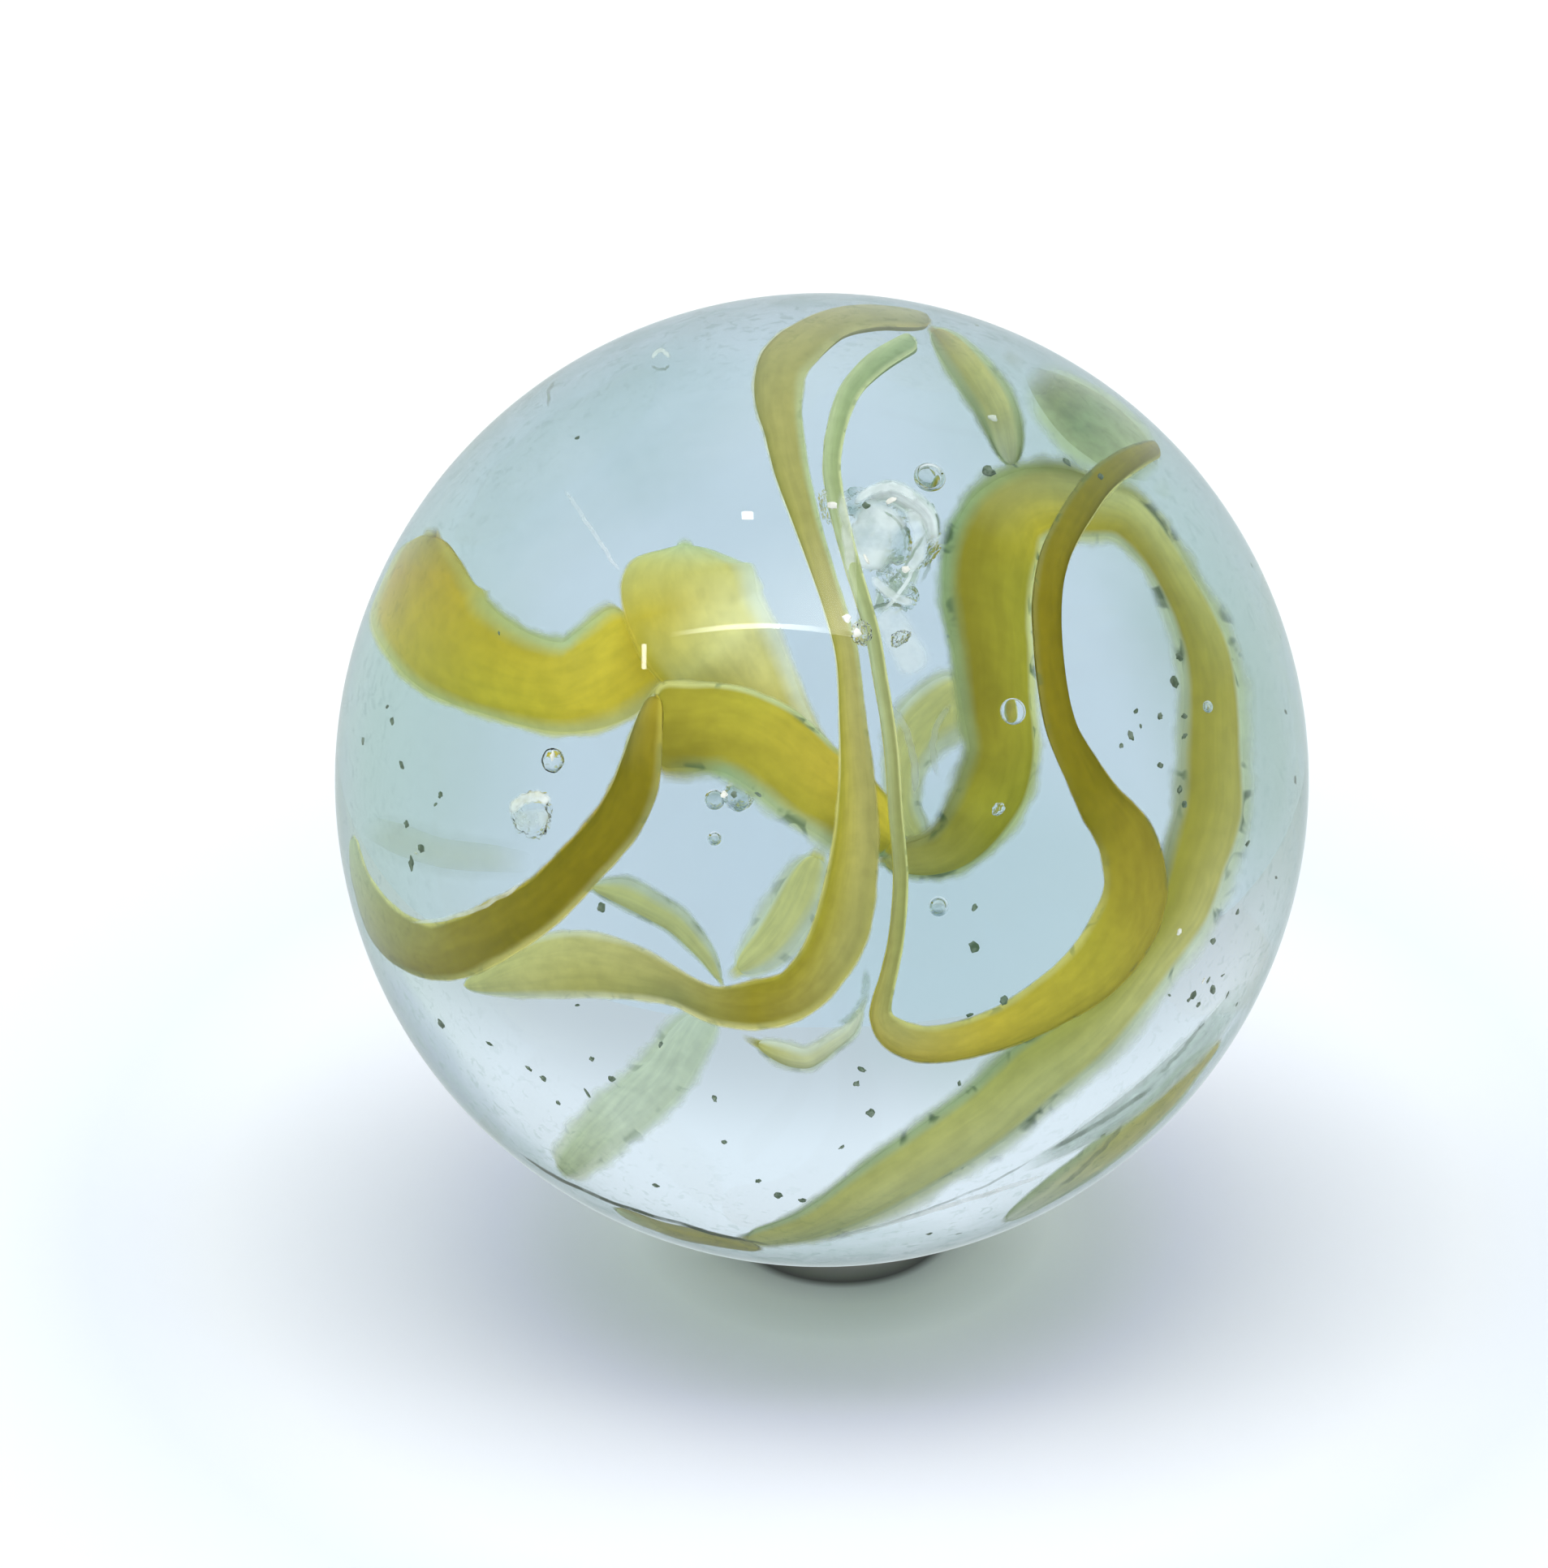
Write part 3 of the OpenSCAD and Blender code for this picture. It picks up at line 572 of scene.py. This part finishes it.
# Specks: grit and flakes of dark scale caught in the glass near its skin, and white spots that are painted
# glints and highlights, where chips, bubbles and films catch the light. Each is (across, up, size), in
# percent of the radius.
dark_specks = [
    (-50, 70, 1.0), (-78, -3, 1.2), (-86, 3, 1.6), (-85, -9, 1.4), (-84, -17, 2.2), (-82, -14, 1.4),
    (-79, -5, 1.0), (-78, -50, 1.6), (-68, -54, 1.4), (-57, -61, 1.2), (-48, -64, 1.6), (-43, -61, 1.2),
    (-33, -54, 1.4), (-45, -26, 1.4), (-50, -46, 1.0), (-18, -3, 1.0), (-13, -3, 1.2), (-20, -74, 1.0),
    (-22, -65, 1.4), (-34, -83, 1.2), (-13, -82, 1.2), (-9, -85, 1.6), (-4, -86, 1.4), (31, -26, 1.2),
    (31, -34, 2.0), (30, -48, 1.2), (37, -45, 1.6), (8, -59, 1.6), (7, -62, 1.0), (28, -62, 1.2),
    (10, -68, 1.4), (4, -75, 1.2), (22, -93, 1.0), (28, -93, 1.0), (80, -33, 1.2), (80, -43, 2.6),
    (76, -44, 1.4), (83, -44, 1.4), (85, -27, 1.0), (87, -13, 1.4), (97, 0, 1.4), (95, 14, 1.4),
    (69, 13, 1.2), (63, 9, 1.6), (69, 3, 1.2), (57, 62, 1.4), (50, 65, 1.6), (34, 63, 2.2), (32, 94, 1.2),
    (73, 25, 1.4), (74, 9, 1.4), (74, -5, 1.2), (93, -20, 1.2), (9, 56, 1.2), (-66, 30, 0.8), (-94, 8, 1.2),
    (79, -41, 1.4), (77, -46, 1.0), (82, -40, 1.0), (75, -45, 0.8), (71, -44, 0.8), (85, -46, 0.8),
    (65, 11, 0.8), (61, 7, 0.8), (64, 14, 1.0), (72, 20, 2.0), (74, 13, 1.2), (73, -2, 1.4), (-88, 12, 1.4),
    (-89, 15, 1.0), (-47, -57, 1.0), (-60, -59, 1.4), (-54, -66, 0.9), (96, 30, 0.9), (90, 45, 0.9),
]
painted_glints = [
    (35, 74, 1.8), (73, -31, 1.2), (79, 15, 0.8), (7, 30, 1.6), (-55, 5, 1.4), (2, 56, 1.4), (14, 57, 2.0),
    (-20, -3, 1.0), (-83, -15, 0.8), (5, 33, 1.4), (9, 45, 1.6), (17, 43, 1.2), (78, -41, 1.2),
]
speck_depth = 3
for name, slot, specks, shade in (("dark_specks", "olive_glass", dark_specks, (92, 112, 90)),
                                  ("painted_glints", "clear_glass", painted_glints, (250, 250, 240))):
    bm = bmesh.new()
    for i, (across, up, size) in enumerate(specks):
        made = bmesh.ops.create_icosphere(bm, subdivisions=2, radius=1)["verts"]
        squash = Vector((1, 0.4, 0.75 + 0.35 * math.sin(3 * i))) * size / 160 * marble_r
        turn = Matrix.Rotation(2 * i, 3, "Y")
        for v in made:
            v.co *= 1 + 0.6 * noise.noise(v.co * 1.5 + Vector((i, 0, 0)))
            v.co = seen_at(across, up, speck_depth) + as_it_lies @ turn @ (v.co * squash)
    speck, tree, shader = new_material(name, Roughness=0.9, Specular_IOR_Level=0)
    where = tree.nodes.new("ShaderNodeTexCoord").outputs["Object"]
    mottle = fade(tree, grain(tree, where, 9000, 2), 0.35, 0.65)
    paler = tuple(c + (255 - c) // 4 for c in shade)
    feed(tree, shader.inputs["Base Color"], mix(tree, mottle, tint(*shade), tint(*paler)))
    piece(name, bm, speck, slot)

# The stage: a pale floor, soft light from all round and one broad lamp overhead. A shadow is painted on the
# floor, which only the camera's rays see: its painted shade deepens towards the ball, down to a dark crescent
# where the ball rests. The stops of painted_shadow_rings are (distance, shade), the distance in radii from
# where the ball rests. They are drawn in a little from side to side.
drawn_in, aside_shift, ring_reach = 1.35, 0.04, 4
floor, tree, shader = new_material("stage_floor", Roughness=0.7)
apart = tree.nodes.new("ShaderNodeMapping")
apart.inputs["Location"].default_value = (-aside_shift * drawn_in, 0, 0)
apart.inputs["Scale"].default_value = (drawn_in / marble_r, 1 / marble_r, 0)
feed(tree, apart.inputs[0], tree.nodes.new("ShaderNodeTexCoord").outputs["Object"])
reach = tree.nodes.new("ShaderNodeVectorMath")
reach.operation = "LENGTH"
feed(tree, reach.inputs[0], apart.outputs[0])
painted_shadow_rings = ((0.22, (0.24, 0.22, 0.20)), (0.27, (0.14, 0.13, 0.11)), (0.30, (0.05, 0.045, 0.04)),
         (0.33, (0.50, 0.50, 0.47)), (0.41, (0.70, 0.70, 0.65)), (0.58, (0.91, 0.91, 0.89)),
         (0.95, (0.87, 0.87, 0.99)), (1.2, (0.90, 0.91, 0.99)), (1.75, (0.93, 0.95, 1.0)),
         (2.1, (0.86, 0.90, 0.98)), (3.0, (0.98, 0.99, 1.0)), (3.6, (1, 1, 1)))
shades = tree.nodes.new("ShaderNodeValToRGB")
for spare in painted_shadow_rings[2:]:
    shades.color_ramp.elements.new(0.5)
for stop, (radius, shade) in zip(shades.color_ramp.elements, painted_shadow_rings):
    stop.position, stop.color = radius / ring_reach, (*shade, 1)
feed(tree, shades.inputs[0], maths(tree, "DIVIDE", reach.outputs["Value"], ring_reach))
# Painted shadow for the camera only: other rays see the floor a plain pale colour.
seen = tree.nodes.new("ShaderNodeLightPath").outputs["Is Camera Ray"]
feed(tree, shader.inputs["Base Color"], mix(tree, seen, (0.92, 0.96, 1.0, 1), shades.outputs[0]))
bm = bmesh.new()
bmesh.ops.create_grid(bm, x_segments=1, y_segments=1, size=0.06,
                      matrix=Matrix.Translation((0, 0, ball_low[2])))
floor_plate = new_object("stage_floor", bm, floor)
floor_plate.visible_glossy = False
floor_plate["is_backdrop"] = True

# What reaches the camera straight or through the glass is white, and brighter above the horizon.
# Off to the sides the room is dimmer, which draws the rims of the ball and of its bubbles. The glass
# also mirrors a dimmer room on the camera's side and below. Inside the ball the ribbons are lit more,
# to make up for what the glass keeps from them.
world = bpy.data.worlds.new("studio")
bpy.context.scene.world = world
world.use_nodes = True
tree = world.node_tree
path = tree.nodes.new("ShaderNodeLightPath").outputs
way = tree.nodes.new("ShaderNodeTexCoord").outputs["Generated"]
ahead = along_way(tree, way, tuple(sight))
height = along_way(tree, way, (0, 0, 1))
through = mix(tree, fade(tree, height, -0.05, 0.25), (1, 1, 1, 1), (1.36, 1.35, 1.36, 1))
along_sight = maths(tree, "ABSOLUTE", ahead)
through = mix(tree, fade(tree, along_sight, -0.1, 0.5), (0.62, 0.67, 0.65, 1), through)
lit_again = maths(tree, "GREATER_THAN", path["Diffuse Depth"], 0.5)
through = mix(tree, lit_again, through, (2.3, 2.3, 2.3, 1))
mirrored = mix(tree, fade(tree, ahead, -0.4, 0.5), (0.3, 0.3, 0.32, 1), (0.85, 0.9, 0.95, 1))
mirrored = mix(tree, fade(tree, ahead, 0.84, 0.98), mirrored, (0.74, 0.82, 0.84, 1))
mirrored = mix(tree, fade(tree, height, -0.75, -0.42), (0.38, 0.42, 0.40, 1), mirrored)
sky = mix(tree, path["Is Glossy Ray"], (0.52, 0.55, 0.55, 1), mirrored)
sky = mix(tree, path["Is Transmission Ray"], sky, through)
sky = mix(tree, path["Is Camera Ray"], sky, (1, 1, 1, 1))
feed(tree, tree.nodes["Background"].inputs["Color"], sky)

lamp = bpy.data.lights.new("overhead_panel", "AREA")
lamp.shape, lamp.size, lamp.size_y, lamp.energy = "RECTANGLE", 0.40, 0.20, 0.74
panel = bpy.data.objects.new("overhead_panel", lamp)
panel.location = (-0.02, 0.03, 0.30)
panel.visible_transmission = panel.visible_glossy = panel.visible_camera = False
bpy.context.scene.collection.objects.link(panel)

# A soft window, the bright line of its sill and two small lamps, which only show as reflections on
# the front of the ball. Each is (left, right, low, high, brightness, soft): where it shows on the
# face, in percent of the radius, how bright it is, and 1 if it fades out to its edges.
bm = bmesh.new()
glow_layer = bm.verts.layers.float.new("glow")
for left, right, low, high, glow, soft in (
        (-32, 7, 28.8, 53, 10, 1), (-31, 7, 28.9, 29.9, 24, 0), (-16.4, -13.8, 52.8, 54.4, 90, 0),
        (-36.6, -35.4, 22.5, 27.5, 40, 0)):
    for v in bmesh.ops.create_grid(bm, x_segments=16, y_segments=16, size=1)["verts"]:
        u, w = (v.co.x + 1) / 2, (v.co.y + 1) / 2
        bow = 1.8 * math.sin(math.pi * u) if right - left > 30 else 0
        aside = Vector((left + (right - left) * u, 0, low + bow + (high - low) * w)) / 100
        normal = aside - Vector((0, math.sqrt(1 - aside.length_squared), 0))
        v.co = centre + as_it_lies @ (Vector((0, 1, 0)) - 2 * normal.y * normal) * (0.36 if soft else 0.34)
        v[glow_layer] = glow * math.sin(math.pi * u)
        if soft:
            v[glow_layer] = glow * max(1 - math.hypot(1 - u, w) / 1.1, 0) ** 1.5
window, tree, shader = new_material("lit_window", Base_Color=(0, 0, 0, 1), Emission_Color=(1, 1, 1, 1))
feed(tree, shader.inputs["Emission Strength"], attribute(tree, "glow"))
window_panes = new_object("lit_window", bm, window)
for kind in ("camera", "diffuse", "transmission", "volume_scatter", "shadow"):
    setattr(window_panes, "visible_" + kind, False)
window_panes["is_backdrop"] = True

# The camera looks down at the ball from in front. It stands far enough off for a flat outline, and
# near enough for the ball to stay within its far clip when it is moved round to another side. Half
# the picture's width and the place that it is aimed at are in radii.
distance, half_width, aim = 120 * marble_r, 1.61, (-0.0983, -0.0083)
camera = bpy.data.objects.new("camera", bpy.data.cameras.new("camera"))
bpy.context.scene.collection.objects.link(camera)
bpy.context.scene.camera = camera
camera.data.lens = camera.data.sensor_width / 2 / (math.tan(math.asin(marble_r / distance)) * half_width)
camera.data.clip_start = 0.001
camera.rotation_euler = (math.pi / 2 - roll_back, 0, 0)
camera.location = centre + as_it_lies @ Vector((aim[0] * marble_r, -distance, aim[1] * marble_r))
bpy.context.scene.view_settings.view_transform = "Standard"

low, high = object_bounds()
